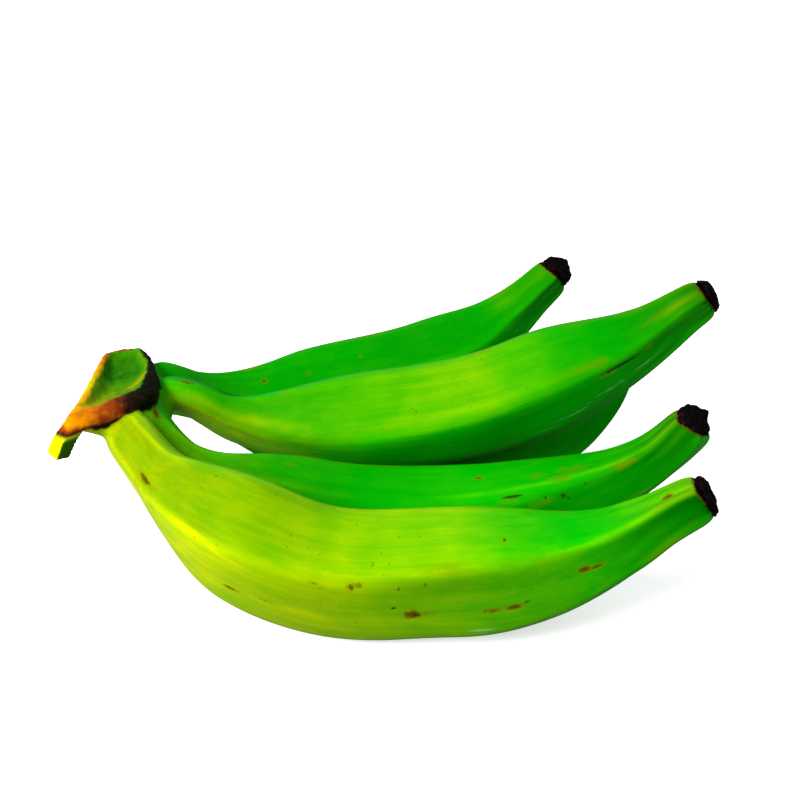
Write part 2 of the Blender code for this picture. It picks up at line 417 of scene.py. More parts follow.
class Spine:
    """The middle line of a finger, with a sideways and an upward direction all along it."""

    def __init__(self, points, ring):
        knots = np.array([points[ring == i].mean(0) for i in range(ring.max() + 1)])
        ahead = np.gradient(knots, axis=0)
        self.places, last = [], len(knots) - 1
        for count in range(last * SPINE_STEPS + 1):
            i = min(count // SPINE_STEPS, last - 1)
            u = count / SPINE_STEPS - i
            self.places.append(
                knots[i] * (1 + 2 * u) * (1 - u) ** 2 + ahead[i] * u * (1 - u) ** 2
                + knots[i + 1] * u * u * (3 - 2 * u) + ahead[i + 1] * u * u * (u - 1))
        self.places = np.array(self.places)
        gaps = np.linalg.norm(np.diff(self.places, axis=0), axis=1)
        self.distance = np.concatenate([[0], np.cumsum(gaps)])
        self.length = self.distance[-1]
        self.forward = np.gradient(self.places, axis=0)
        self.forward /= np.linalg.norm(self.forward, axis=1)[:, None]
        self.sideways = np.cross((0, 0, 1), self.forward)
        self.sideways /= np.linalg.norm(self.sideways, axis=1)[:, None]
        self.upward = np.cross(self.forward, self.sideways)

    def locate(self, points):
        """For points on or near the finger: how far along it, 0 to 1, the angle round it in
        degrees, 0 behind and 90 on top, the distance from the middle line, and the number of
        the nearest place on it."""
        nearest = np.empty(len(points), int)
        for start in range(0, len(points), AT_ONCE):
            some = points[start:start + AT_ONCE]
            apart = ((some[:, None] - self.places[None]) ** 2).sum(2)
            nearest[start:start + AT_ONCE] = apart.argmin(1)
        out = points - self.places[nearest]
        beyond = (out * self.forward[nearest]).sum(1)
        out -= beyond[:, None] * self.forward[nearest]
        angle = np.arctan2((out * self.upward[nearest]).sum(1),
                           (out * self.sideways[nearest]).sum(1))
        along = (self.distance[nearest] + beyond) / self.length
        return along, np.degrees(angle) % 360, np.linalg.norm(out, axis=1), nearest


# %% Clean four-sided faces
HALF_STEP = 9.0                    # half the angle between a ring's corners, in degrees


def take_out_diagonals(piece, ring, angle):
    """Leaves four-sided faces along a finger and one face at each end."""
    flat_faces = {}
    for face in piece.data.polygons:
        if len({ring[i] for i in face.vertices}) == 1:
            for pair in face.edge_keys:
                flat_faces[pair] = flat_faces.get(pair, 0) + 1
    only(piece)
    bpy.context.scene.tool_settings.mesh_select_mode = (False, True, False)
    count = 0
    for edge in piece.data.edges:
        a, b = edge.vertices
        apart = abs((angle[a] - angle[b] + 180) % 360 - 180)
        slanted = ring[a] != ring[b] and apart > HALF_STEP
        edge.select = bool(slanted or flat_faces.get(edge.key, 0) == 2)
        count += edge.select
    piece.data.vertices.foreach_set("select", [False] * len(piece.data.vertices))
    piece.data.polygons.foreach_set("select", [False] * len(piece.data.polygons))
    bpy.ops.object.mode_set(mode="EDIT")
    bpy.ops.mesh.dissolve_edges(use_verts=False)
    only(piece)
    return count


# %% Rounded fingers
FINGERS = ("front", "second", "upper", "back", "lower_back")
PEEL_LEVELS = 3

fingers, spines = {}, {}
for kind in FINGERS:
    piece = merged_copy("finger_" + kind, "plantain_" + kind)
    ring = ring_numbers(piece)
    spines[kind] = Spine(points_of(piece), ring)
    angle = spines[kind].locate(points_of(piece))[1]
    taken = take_out_diagonals(piece, ring, angle)
    with_modifier(piece, "SUBSURF", levels=PEEL_LEVELS, render_levels=PEEL_LEVELS)
    fingers[kind] = piece
    print(kind, "length, mm:", round(spines[kind].length / MM), "diagonals:", taken, "faces:",
          len(piece.data.polygons))

# %% [markdown]
# ## Growth marks in the fingers
#
# No real finger is as even as its plain model. The ridges stand out like soft seams, above all
# towards the two ends, the skin there is drawn into fine lengthwise folds, and the flat faces
# swell and sink a little. Sculpting by hand could do this. Moving the vertices along their own
# normals by a sum of such marks gives the same result every time the lesson is run.

# %% Where the ridges run
FACE_ANGLES = np.array([-2, 63, 138, 215, 288])     # where the five faces look, at the root
TURNED = {"front": (-5, -50), "second": (-5, -50), "upper": (10, -24), "back": (-10, -20),
          "lower_back": (-5, -40)}                  # how far they have turned at root and nose
RIDGE_WIDTH = 0.13                                  # of the way from one ridge to the next


def around(kind, along, angle):
    """How far round its finger a point is, from 0 to 5: whole numbers are face middles."""
    root, nose = TURNED[kind]
    face = (angle - root - (nose - root) * along - FACE_ANGLES[0]) % 360
    middles = np.append((FACE_ANGLES - FACE_ANGLES[0]) % 360, 360)
    return np.interp(face, middles, np.arange(6))


def ridge_at(face):
    """1 on a ridge, which is half way between the middles of two faces, and 0 away from it."""
    return np.exp(-((np.abs(face - np.round(face)) - 0.5) / RIDGE_WIDTH) ** 2)


# %% Soft steps and noise
def step(low, high, x):
    """A smooth step from 0 at low to 1 at high."""
    x = np.clip((x - low) / (high - low), 0, 1)
    return x * x * (3 - 2 * x)


def cloud(places, size):
    """Smooth noise between about -1 and 1 at each of the places, with lumps of this size."""
    return np.array([noise.noise(Vector(place / size)) for place in places])


# %% The way the fibres run
FIBRE_SHIFT = 0.4                  # metres, so that no two fingers match


def grain_at(kind, along, angle, reach):
    """A finger's points as if it were drawn out straight, so that patterns run along it."""
    turn = np.radians(angle)
    return np.stack([reach * np.cos(turn), reach * np.sin(turn),
                     along * spines[kind].length + FIBRE_SHIFT * FINGERS.index(kind)], 1)


# %% Scars, stains and painted highlights
# Each mark: how far along the finger, the angle round it, its half length and half width in mm,
# how strong it is, and whether it is a brown scar (0), a dark stain (1) or a painted highlight (2).
MARKS_AND_HIGHLIGHTS = {
    "front": [
        (.118, 151, 5.0, 0.9, 1.0, 0), (.298, 203, 2.8, 0.8, .85, 0), (.345, 198, 5.0, 1.2, .45, 0),
        (.396, 159, 3.0, 0.8, .50, 0), (.452, 158, 1.4, 1.2, .95, 0), (.462, 156, 2.6, 1.2, .60, 0),
        (.521, 159, 1.2, 1.4, .65, 1), (.560, 156, 1.5, 1.0, .60, 1), (.513, 180, 1.4, 0.8, .90, 1),
        (.539, 189, 3.6, 1.9, 1.0, 0), (.560, 189, 5.0, 1.6, .42, 0), (.546, 190, 1.8, 0.9, .80, 1),
        (.655, 189, 5.5, 1.4, .60, 0), (.686, 188, 3.5, 1.2, .90, 0), (.705, 184, 1.6, 0.8, .70, 1),
        (.682, 117, 0.9, 0.9, 1.0, 0), (.795, 165, 2.6, 1.2, 1.0, 0), (.812, 168, 4.2, 0.9, .75, 0),
        (.950, 101, 2.4, 1.6, .80, 0), (.340, 124, 0.8, 0.8, .55, 0), (.640, 210, 6.5, 1.0, .90, 2),
        (.350, 20, 4.0, 1.1, .80, 0), (.620, 350, 2.2, 1.4, .90, 0), (.450, 300, 6.0, 1.6, .70, 0),
        (.740, 35, 1.2, 1.0, .80, 1)],
    "second": [
        (.668, 133, 5.0, 0.8, 1.0, 1), (.660, 138, 7.0, 1.5, .36, 0), (.612, 96, 2.4, 1.0, .70, 0),
        (.724, 142, 0.9, 0.9, .80, 1), (.756, 146, 1.3, 1.3, .85, 1), (.763, 152, 0.9, 0.8, .80, 1),
        (.716, 106, 7.0, 2.2, .36, 0), (.765, 103, 5.0, 2.2, .38, 0), (.276, 98, 4.0, 1.0, .40, 0),
        (.800, 140, 2.0, 1.2, .50, 1), (.015, 105, 3.0, 1.8, .75, 0), (.400, 30, 3.0, 1.3, .80, 0),
        (.560, 330, 5.0, 1.2, .70, 0), (.820, 20, 1.5, 1.0, .80, 1), (.760, 120, 9.0, 2.6, .40, 0),
        (.790, 106, 8.0, 2.4, .38, 0), (.860, 128, 6.0, 1.6, .36, 0)],
    "upper": [
        (.815, 173, 11.0, 0.8, .95, 1), (.790, 176, 5.0, 1.4, .50, 0),
        (.042, 109, 4.5, 0.9, .65, 0), (.300, 140, 0.8, 0.7, .70, 1), (.470, 150, 0.9, 0.8, .65, 1),
        (.550, 128, 0.8, 0.8, .60, 0), (.660, 220, 13.0, 0.6, .60, 2),
        (.720, 212, 14.0, 0.6, .72, 2), (.780, 204, 15.0, 0.6, .75, 2),
        (.850, 201, 9.0, 0.5, .70, 2), (.740, 207, 8.0, 0.4, .55, 2), (.820, 208, 7.0, 0.4, .50, 2),
        (.920, 120, 9.0, 1.4, .36, 0), (.900, 128, 8.0, 1.2, .34, 0), (.870, 168, 3.0, 1.0, .50, 0),
        (.990, 114, 2.0, 1.2, .50, 0), (.450, 40, 5.0, 1.3, .80, 0), (.640, 10, 2.0, 1.5, .85, 0),
        (.250, 330, 3.0, 1.0, .70, 0)],
    "back": [
        (.263, 126, 1.6, 1.0, .80, 0), (.358, 116, 3.0, 1.6, .42, 1), (.520, 120, 1.0, 1.0, .55, 0),
        (.660, 95, 4.0, 2.0, .42, 1), (.746, 103, 3.0, 1.5, .44, 1), (.375, 126, 1.4, 1.0, .60, 0),
        (.450, 20, 6.0, 1.4, .85, 0), (.480, 14, 2.0, 1.0, .80, 1), (.700, 340, 3.0, 1.2, .75, 0),
        (.300, 60, 1.2, 1.0, .80, 1), (.620, 55, 4.0, 0.9, .60, 0)],
    "lower_back": [
        (.500, 200, 3.0, 1.2, .70, 0), (.700, 150, 1.2, 1.0, .70, 1), (.400, 10, 5.0, 1.4, .80, 0),
        (.600, 350, 2.0, 1.6, .85, 0), (.780, 30, 3.0, 0.9, .70, 0)],
}
print("marks on each finger:", {kind: len(marks) for kind, marks in MARKS_AND_HIGHLIGHTS.items()})

# %% Where a finger is marked
MARK_DEPTHS = np.array([0.22, 0.15, 0.0]) * MM       # of scars, stains and painted highlights
MARK_HALO = 0.42                   # how strong the paler edge round a mark is


def marks_and_highlights_at(kind, along, angle, reach):
    """How scarred and stained a finger is at each point, and how much painted highlight it has,
    three columns.
    """
    found = np.zeros((len(along), 3))
    for where, turned, half_length, half_width, strength, what in MARKS_AND_HIGHLIGHTS[kind]:
        ahead = (along - where) * spines[kind].length / (half_length * MM)
        apart = np.radians((angle - turned + 180) % 360 - 180) * reach / (half_width * MM)
        off = ahead ** 2 + apart ** 2
        dense = np.maximum(np.exp(-off), MARK_HALO * np.exp(-off / 4))
        found[:, what] = np.maximum(found[:, what], strength * dense)
    return found


# %% Ridges, folds and swells
RIDGE_HEIGHT = 0.45 * MM
END_RIDGE_HEIGHT = 0.75 * MM       # more, near the two ends
FOLD_DEPTH, FOLD_SIZE = 0.42 * MM, 3.2 * MM
SWELL_DEPTH, SWELL_SIZE = 0.45 * MM, 16 * MM
FOLD_SQUEEZE, SWELL_SQUEEZE = (1, 1, 0.12), (1, 1, 0.5)       # longer along the finger
NOSE_STILL = 0.985                 # from here on it all fades, under the dried flower


def rise_of(along, ridge, grain):
    """How far a finger's skin stands out at each point, in metres."""
    near_end = 0.4 * step(0.20, 0.08, along) + step(0.78, 0.93, along)
    folds = cloud(grain * FOLD_SQUEEZE, FOLD_SIZE)
    swells = cloud(grain * SWELL_SQUEEZE, SWELL_SIZE)
    rise = (ridge * (RIDGE_HEIGHT + END_RIDGE_HEIGHT * near_end)
            + folds * FOLD_DEPTH * near_end + swells * SWELL_DEPTH)
    return rise * step(1.0, NOSE_STILL, along)


# %% Necks that are rounder and go in under the crown
ROOT_END = 0.055                   # a root is drawn in over this part of its finger,
ROOT_TUCK = 0.12                   # by this much, so that it dives in under the crown's rim
ROUND_END, ROUND_ROOT = 0.14, 0.7  # the neck is rounder over this part, and by this much
STATIONS = np.linspace(0, ROUND_END, 16)
STATION_REACH = 0.01               # how near a station the points are that give its usual width


def neck_growth(along, reach):
    """How much farther from the middle line a neck's points go, as a part of their distance."""
    usual = [reach[np.abs(along - station) < STATION_REACH].mean() for station in STATIONS]
    width = np.interp(along, STATIONS, usual)
    rounder = ROUND_ROOT * step(ROUND_END, 0.03, along) * (width / np.maximum(reach, MM) - 1)
    rounder *= step(0.4, 0.8, reach / width)           # not in the middle of the neck's end
    return rounder - ROOT_TUCK * step(ROOT_END, 0.0, along)


# %% Sculpt the fingers
on_finger = {}
for kind, piece in fingers.items():
    points, spine = points_of(piece), spines[kind]
    along, angle, reach, place = spine.locate(points)
    face = around(kind, along, angle)
    ridge, grain = ridge_at(face), grain_at(kind, along, angle, reach)
    dent = marks_and_highlights_at(kind, along, angle, reach) @ MARK_DEPTHS
    moved = (rise_of(along, ridge, grain) - dent)[:, None]
    grown = points + normals_of(piece) * moved
    middle = spine.places[place]
    move_points(piece, grown + (grown - middle) * neck_growth(along, reach)[:, None])
    on_finger[kind] = dict(along=along, face=face, ridge=ridge, grain=grain, angle=angle,
                           reach=reach)
    print(kind, "skin moved, mm:", round(moved.min() / MM, 2), "to", round(moved.max() / MM, 2))

# %% [markdown]
# ## How ripe each face is
#
# Green peel is never one green: the root end and some faces are yellower, the noses are a deep
# green. Each finger has two small tables of this, one for how yellow and one for how dark it is,
# with a row for each of its five faces and six columns from root to nose. The dark table is partly
# painted shade and painted light: lower faces are mostly painted darker, and numbers below 0 paint
# faces lighter. Thin lines of painted highlight and painted shade along the ridges are laid over
# that. Textures could be painted instead, but a table is easy to read and to change.

# %% Yellow tables
YELLOW = {
    "front": [[.75, .70, .65, .50, .10, .25],
              [.70, .65, .65, .50, .10, .25],
              [.85, .70, .65, .55, .00, .55],
              [.85, .85, .75, .55, .25, .00],
              [.85, .75, .70, .55, .15, .00]],
    "second": [[.20, .15, .00, .00, .00, .15],
               [.20, .15, .00, .00, .00, .15],
               [.50, .30, .00, .05, .00, .35],
               [.00, .00, .00, .00, .00, .05],
               [.25, .15, .00, .00, .00, .10]],
    "upper": [[.20, .15, .15, .20, .05, .20],
              [.00, .05, .20, .25, .10, .25],
              [.15, .25, .40, .50, .00, .25],
              [.70, .55, .00, .00, .00, .15],
              [.80, .50, .15, .25, .00, .20]],
    "back": [[.35, .20, .10, .10, .05, .15],
             [.20, .10, .05, .10, .05, .10],
             [.05, .00, .00, .00, .00, .10],
             [.10, .05, .00, .00, .00, .00],
             [.45, .35, .20, .10, .05, .10]],
    "lower_back": [[.45, .30, .15, .10, .05, .15],
                   [.40, .30, .10, .05, .05, .10],
                   [.40, .30, .10, .05, .00, .05],
                   [.50, .25, .10, .00, .00, .00],
                   [.50, .40, .20, .10, .05, .10]],
}
print("how yellow:", {kind: round(float(np.mean(rows)), 2) for kind, rows in YELLOW.items()})

# %% Dark tables, partly painted shade and light
# How dark each face is painted, partly the peel's own deep green and partly painted shade; below 0
# is painted light.
DARKNESS_AND_PAINTED_SHADE = {
    "front": [[.10, .10, .10, .10, .10, .10],
              [-.30, -.30, .05, .05, .05, .05],
              [.40, .35, .10, -.05, -.30, .15],
              [.05, .00, .28, .28, .10, .60],
              [.20, .20, .20, .20, .20, .05]],
    "second": [[.10, .10, .10, .10, .10, .10],
               [.05, .05, .05, .05, .05, .05],
               [-.30, .35, .10, -.10, .00, .55],
               [.30, .30, .30, .30, .30, .60],
               [.20, .20, .20, .20, .20, -.30]],
    "upper": [[.10, .10, .10, .10, .10, .10],
              [.05, -.30, .05, .05, .05, .05],
              [-.10, .30, .10, .10, .10, .60],
              [.35, .10, -.15, .25, .05, .55],
              [.20, .20, .20, .20, .20, .20]],
    "back": [[.10, .10, .10, .10, .10, .10],
             [.05, .05, .05, .05, .05, .05],
             [-.10, .20, .20, .30, .20, .40],
             [-.15, -.15, -.15, -.15, -.15, .35],
             [.20, .20, .20, .20, .20, .20]],
    "lower_back": [[.10, .10, .10, .10, .10, .10],
                   [.05, .05, .05, .05, .05, .05],
                   [.05, .05, .05, .05, .05, .05],
                   [-.30, -.30, -.30, -.30, -.30, -.25],
                   [.20, .20, .20, .20, .20, .20]],
}
print("how dark:", {kind: round(float(np.mean(rows)), 2) for kind, rows in DARKNESS_AND_PAINTED_SHADE.items()})

# %% Lines of painted highlight and shade
# Lines of painted highlight and painted shade along a finger, mostly on its ridges: where each
# starts and ends along the finger, the angle at each, its half width in mm, and how much yellower
# and darker it is.
LIGHT_AND_SHADE_STREAKS = {
    "front": [(.10, .33, 165, 159, 1.4, .08, -.04), (.70, 1.1, 141, 118, 1.3, .22, -.18),
              (.40, 1.1, 172, 136, 4.5, -.05, .16), (.10, .46, 84, 80, 4.5, -.22, .02),
              (.86, 1.0, 104, 96, 1.4, .18, -.08), (.30, .70, 188, 184, 1.5, -.08, .06)],
    "second": [(.50, 1.0, 127, 117, 1.6, .26, -.16), (.78, 1.0, 88, 72, 1.5, .16, -.12),
               (.02, .45, 128, 130, 1.6, .12, -.08), (.62, .98, 142, 136, 2.2, -.05, .12),
               (.86, 1.0, 150, 150, 1.5, .22, -.04)],
    "upper": [(-.1, .40, 184, 178, 3.2, .05, .24), (-.1, .32, 161, 157, 3.2, .38, -.04),
              (.34, .92, 174, 162, 1.4, .12, -.14), (.55, .98, 188, 175, 2.6, -.08, .16),
              (.84, 1.0, 138, 122, 2.6, .34, -.04), (.50, .75, 228, 214, 1.4, .02, -.20)],
    "back": [(.55, .98, 147, 178, 1.4, .06, -.14), (.78, 1.1, 110, 112, 5.0, .32, -.04),
             (.05, .60, 105, 110, 1.4, .05, -.06)],
    "lower_back": [(.40, .95, 150, 160, 1.5, .05, -.12), (.05, .40, 205, 200, 2.0, .15, -.08)],
}
print("streaks on each finger:", {kind: len(lit_and_shaded_lines) for kind, lit_and_shaded_lines in LIGHT_AND_SHADE_STREAKS.items()})

# %% Where a finger is streaked
STREAK_FADE = 0.10                 # the part of the finger over which a streak's ends fade
STREAK_LUMPS, STREAK_SQUEEZE = 5 * MM, (1, 1, 0.15)     # a streak is uneven in long lumps


def light_and_shade_streaks_at(kind, along, angle, reach, grain):
    """How much yellower and darker the lines of painted highlight and shade make a finger at each
    point.
    """
    yellower, darker = np.zeros(len(along)), np.zeros(len(along))
    unevenness = 0.8 + 0.6 * cloud(grain * STREAK_SQUEEZE, STREAK_LUMPS)
    for start, end, turn_a, turn_b, half_width, yellow, dark in LIGHT_AND_SHADE_STREAKS[kind]:
        turned = np.interp(along, (start, end), (turn_a, turn_b))
        apart = np.radians((angle - turned + 180) % 360 - 180) * reach / (half_width * MM)
        here = np.exp(-apart ** 2) * step(start, start + STREAK_FADE, along) * unevenness
        here *= step(end, end - STREAK_FADE, along) if end < 1 else 1
        yellower, darker = yellower + here * yellow, darker + here * dark
    return np.stack([yellower, darker], 1)


# %% Reading the tables
FACE_BLEND = (0.34, 0.66)          # the part of the way between two faces where one gives way


def from_table(table, along, face):
    """Reads a table of faces by stations, smoothly in both directions."""
    table = np.array(table)
    column = np.clip(along, 0, 1) * (table.shape[1] - 1)
    first = np.minimum(column.astype(int), table.shape[1] - 2)
    part = column - first
    row = np.floor(face).astype(int)
    across = step(*FACE_BLEND, face - row)
    a, b = row % 5, (row + 1) % 5
    on_a = table[a, first] * (1 - part) + table[a, first + 1] * part
    on_b = table[b, first] * (1 - part) + table[b, first + 1] * part
    return on_a * (1 - across) + on_b * across


def paint_peel(piece, kinds, along, face, ridge, grain, marks, lit_and_shaded_lines, painted_shade=0, burnt=0):
    """Paints on a piece all that the peel reads. kinds names each point's finger."""
    yellow, dark = np.zeros(len(along)), np.zeros(len(along))
    for kind in set(kinds):
        mine = kinds == kind
        yellow[mine] = from_table(YELLOW[kind], along[mine], face[mine])
        dark[mine] = from_table(DARKNESS_AND_PAINTED_SHADE[kind], along[mine], face[mine])
    paint(piece, "grain", grain.T)
    paint(piece, "lie", (yellow + lit_and_shaded_lines[:, 0], dark + lit_and_shaded_lines[:, 1] + painted_shade))
    paint(piece, "marks", marks.T)
    paint(piece, "shape", (ridge, burnt))


# %% Paint the fingers
NOSE_BLACK = {"front": (1.2, 1.7), "second": (1.6, 1.3), "upper": (1.4, 1.0), "back": (1.8, 1.5),
              "lower_back": (1.5, 0.6)}   # mm of blackened nose, and how much more on top
NOSE_RADIUS = 8 * MM
BURNT_EDGE = 4                     # mm over which the nose goes from green to black
BURNT_PART = 0.9                   # nothing is black before this part of a finger

for kind, piece in fingers.items():
    lie, spine = on_finger[kind], spines[kind]
    along, angle, reach, grain = (lie[name] for name in ("along", "angle", "reach", "grain"))
    out = points_of(piece) - spine.places[-1]
    black, slant = NOSE_BLACK[kind]
    past = out @ spine.forward[-1] / MM + black + slant * (out @ spine.upward[-1]) / NOSE_RADIUS
    burnt = np.where(along > BURNT_PART, np.clip(0.5 + past / BURNT_EDGE, 0, 1), 0)
    paint_peel(piece, np.full(len(along), kind), along, lie["face"], lie["ridge"], grain,
               marks_and_highlights_at(kind, along, angle, reach), light_and_shade_streaks_at(kind, along, angle, reach, grain),
               burnt=burnt)
    print(kind, "points painted:", len(along), "of them black:", int((burnt > 0.5).sum()))

# %% [markdown]
# ## Green peel
#
# The peel is waxy and satin. Its green comes from the tables and the lines of painted highlight
# and shade above, broken up by soft clouds, by fibres that run along the finger and by small brown
# specks, and some fingers carry pale streaks of painted highlight. The ridges are a little lighter
# than the faces and worn brown in places. The wax gives a soft green sheen, so the specular tint is
# set to green, and scars are dull, brown and a little sunken. One finish could be made for each
# finger, but all that differs is painted on them, so one does for all, and for the crown's skin as
# well.

# %% Colours of the peel
SHEEN = colour(0.20, 1.0, 0.03)
GREENS = ((0.0, (0.0, 0.31, 0.0)), (0.2, (0.012, 0.34, 0.0)), (0.4, (0.060, 0.38, 0.0)),
          (0.6, (0.165, 0.44, 0.0)), (0.8, (0.33, 0.53, 0.0)), (1.0, (0.68, 0.68, 0.0)))
BROWNS = ((0.28, (0.15, 0.14, 0.0)), (0.52, (0.13, 0.04, 0.0)), (0.85, (0.050, 0.010, 0.0)))
# the colour of the painted highlights: pale streaks of reflected light laid on the peel as colour
PAINTED_HIGHLIGHT = colour(0.22, 0.56, 0.24)
SPECK = colour(0.05, 0.06, 0.0)
WORN = colour(0.16, 0.13, 0.0)
STAINED = colour(0.010, 0.022, 0.004)
SINGED = colour(0.10, 0.035, 0.0)
BURNT = colour(0.006, 0.002, 0.003)
PEEL_LAYERS = (                    # the smaller the first, the longer it is; scale and detail
    (0.4, 190, 3),                 # blotches
    (0.035, 420, 3),               # fibres
    (0.03, 1500, 2))               # fine fibres


# %% Fresh green
def peel_layers(finish, grain):
    """Four layers of noise, from 0 to 1: clouds, then what runs along the finger."""
    return (finish.noise(grain, 60, 3),
            *(finish.noise(finish.stretched(grain, (1, 1, drawn)), scale, detail)
              for drawn, scale, detail in PEEL_LAYERS))


def fresh_green(finish, layers, yellow, dark, ridge):
    """Peel with no marks: how ripe it is sets its hue; its layers, its ridges and the painted shade
    and light from the tables set how dark it is.
    """
    clouds, blotches, fibres, fine = layers
    ripe = (yellow + (clouds - 0.5) * 0.24 + (blotches - 0.5) * 0.20 + (fibres - 0.5) * 0.24
            + ridge * 0.06)
    shade = (0.82 + fine * 0.20 + fibres * 0.06 + blotches * 0.06 + ridge * 0.06) * (1.0 - dark)
    grey = finish.node("ShaderNodeCombineColor", None, {0: shade, 1: shade, 2: shade})
    return finish.mix(1.0, finish.ramp(ripe, GREENS), grey, "MULTIPLY")


# %% Painted highlights, scars, stains, worn ridges and black noses
def blemished(finish, green, grain, fine, ridge, nose):
    """The green with its painted highlights and blemishes laid over it one by one, and how scarred
    it is.
    """
    _, (scar, stain, highlight_marks) = finish.painted("marks")
    ragged = finish.noise(grain, 900, 4) - 0.5
    patches = finish.noise(finish.stretched(grain, (1, 1, 0.10)), 150, 4)
    scarred = finish.between(scar + ragged * 0.6, 0.15, 0.62)
    for amount, laid in (
            # painted highlights first: pale streaks of reflected light
            (finish.between(highlight_marks + (fine - 0.5) * 0.7, 0.35, 0.75) * 0.5, PAINTED_HIGHLIGHT),
            (finish.between(finish.noise(grain, 620, 1), 0.72, 0.79) * 0.45, SPECK),
            (ridge * finish.between(patches, 0.56, 0.66) * 0.35, WORN),
            (scarred * 0.85, finish.ramp(scar + ragged * 0.7, BROWNS)),
            (finish.between(stain + ragged * 0.7, 0.28, 0.66) * 0.9, STAINED),
            (finish.between(nose + ragged * 0.35, 0.26, 0.46) * 0.75, SINGED),
            (finish.between(nose + ragged * 0.30, 0.44, 0.52), BURNT)):
        green = finish.mix(amount, green, laid)
    return green, scarred


def peel_colour(finish):
    """The colour, roughness and height of green peel, from what is painted on the piece."""
    grain, _ = finish.painted("grain")
    _, (yellow, dark, _) = finish.painted("lie")
    _, (ridge, nose, _) = finish.painted("shape")
    layers = peel_layers(finish, grain)
    clouds, _, fibres, fine = layers
    green = fresh_green(finish, layers, yellow, dark, ridge)
    green, scarred = blemished(finish, green, grain, fine, ridge, nose)
    rough = 0.40 + fibres * 0.12 + scarred * 0.25
    height = fibres * 0.5 + fine * 0.25 + clouds * 0.3 - scarred * 0.3
    return green, rough, height


# %% Peel on the fingers
WAX = 0.07                         # how strong the peel's sheen is
PEEL_RELIEF = 0.35 * MM

peel = Finish("green_peel")
green, rough, height = peel_colour(peel)
peel.set(Base_Color=green, Roughness=rough, Normal=peel.bump(height, PEEL_RELIEF, 0.5),
         Specular_IOR_Level=WAX, Specular_Tint=SHEEN)
for piece in fingers.values():
    piece.data.materials.append(peel.material)
print("green peel:", len(peel.tree.nodes), "nodes")

# %% [markdown]
# ## The crown
#
# The crown isn't a knob that the fingers were pushed into. Its flesh runs on into their necks with
# no seam. So it is drawn as a closed shape, ring by ring: a wall that widens up to the rim, a thick
# lip, and a dish that has sunk as it dried. Each ring is extruded from the one before and its
# corners are set. A strip of skin, folded along its middle, is drawn the same way. Then the crown,
# the strip and a short length of each neck are joined, turned into one skin by a voxel Remesh,
# which swallows everything inside it, and smoothed where they meet. Each length of neck starts a
# little fatter than the finger and ends a little thinner, so that the new skin dives into the
# finger's own and no edge shows.

# %% Corners of the cut, in mm from the lowest corner of the plain crown
RIM = np.array([(38.6, 33.6, 26.3), (37.6, 49.2, 26.3), (33.8, 65.5, 25.8), (26.4, 81.5, 25.4),
                (10.8, 78.6, 23.9), (10.2, 64.7, 24.8), (9.8, 43.7, 25.8), (8.8, 23.8, 26.8),
                (6.2, 8.4, 27.0), (18.1, 10.6, 28.0), (28.2, 20.2, 28.2)])
LIP = np.array([(30.2, 41.0, 25.8), (31.5, 51.2, 25.6), (31.2, 64.6, 25.3), (25.2, 78.6, 24.8),
                (13.6, 76.6, 23.4), (13.4, 63.8, 24.0), (13.4, 45.7, 25.0), (13.0, 30.5, 26.0),
                (12.4, 22.6, 27.0), (17.8, 21.9, 27.6), (23.0, 28.9, 27.4)])
LIP_DROP = np.array([5.5, 5.5, 4.5, 2.5, 3, 3, 3, 3, 4, 6, 6.5])    # how thick the lip is
WALL = np.array([                  # two levels below the lip; the foot is the lower, smaller
    [(41, 34, 17), (41, 49, 17), (38, 66, 16), (30, 80, 16), (16, 77, 15), (16, 65, 15),
     (16, 44, 16), (16, 29, 16), (16.5, 19, 17), (19, 12.5, 18), (33, 19, 18)],
    [(44, 34, 10), (45, 50, 9), (42, 66, 8), (34, 78, 8), (22, 75, 8), (22, 64, 8),
     (22, 46, 9), (22, 34, 9), (23, 26, 10), (26, 20, 11), (36, 21, 11)]], float)
FOOT_SIZE, FOOT_DROP = 0.55, 7
BULGE = (1.03, 1.02, 1)            # how far the lip's side stands out past the rim
LIP_RISE = 0.9
DISH = [(2.6, 0.80), (4.6, 0.45)]  # how far down, and how large beside the lip's inner edge
STRIP = [       # left edge, fold and right edge of the torn strip, and the way to its inner side
    [(7.5, 14.0, 26.0), (12.5, 10.5, 25.5), (17.5, 14.0, 25.0), (0.0, 0.2, -1.0)],
    [(4.6, 7.0, 24.5), (9.8, 3.6, 24.5), (14.6, 8.5, 24.0), (0.2, 0.6, -0.8)],
    [(2.4, 3.8, 21.5), (7.4, 0.8, 20.8), (12.2, 5.0, 21.0), (0.3, 0.9, -0.2)],
    [(1.0, 2.8, 18.2), (5.8, 0.0, 17.0), (10.4, 3.6, 17.6), (0.3, 0.9, 0.1)],
    [(0.2, 2.4, 16.4), (4.4, -0.2, 14.0), (8.6, 3.2, 13.4), (0.3, 0.9, 0.1)]]
STRIP_THICKNESS = 2.2
STRIP_EDGE = 0.5 * MM              # how rounded the strip's edges are


# %% Drawing a shape ring by ring
def drawn_rings(name, rings):
    """A closed shape through rings that all have the same number of corners, in metres."""
    only()
    bpy.ops.mesh.primitive_circle_add(vertices=len(rings[0]), radius=10 * MM, fill_type="NGON")
    piece = bpy.context.object
    piece.name = name
    in_edit_mode(piece)
    for _ in rings[1:]:
        bpy.ops.mesh.extrude_region_move(TRANSFORM_OT_translate={"value": (0, 0, MM)})
    only(piece)
    move_points(piece, np.concatenate(rings))
    in_edit_mode(piece)
    bpy.ops.mesh.normals_make_consistent(inside=False)
    only(piece)
    return piece


def with_middles(ring):
    """A ring with a corner more in the middle of each side, so that it is rounded less."""
    ring = np.asarray(ring, float)
    return np.stack([ring, (ring + np.roll(ring, -1, axis=0)) / 2], 1).reshape(-1, 3)


